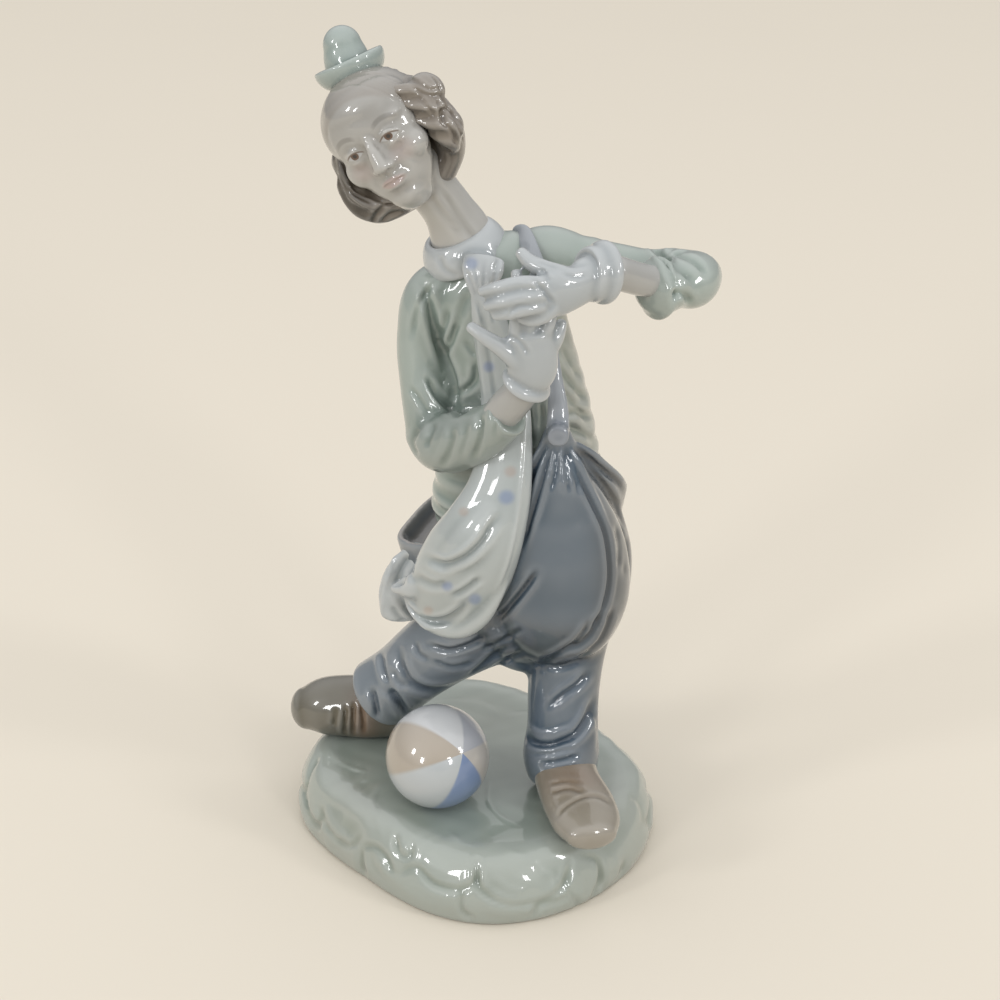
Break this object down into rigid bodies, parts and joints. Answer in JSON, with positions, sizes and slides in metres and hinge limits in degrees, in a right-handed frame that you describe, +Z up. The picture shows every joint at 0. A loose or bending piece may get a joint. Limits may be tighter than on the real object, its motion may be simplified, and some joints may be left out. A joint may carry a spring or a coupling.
{
  "type": "clown figurine",
  "caption": "Glazed porcelain clown in baggy trousers, giant tie and tiny hat, striding over a beach ball on a round rock base.",
  "frame": {"origin": "centre of the base's flat underside, on the surface that the figurine stands on", "axes": "+Z up, -Y the figurine's front, +X to the right of someone who faces it"},
  "size_m": [0.1663, 0.1536, 0.3233],
  "materials": {
    "glazed_porcelain": "clear glossy glaze over soft underglaze colours"
  },
  "bodies": {
    "root": {"clown_figurine": "glazed_porcelain"}
  },
  "joints": []
}
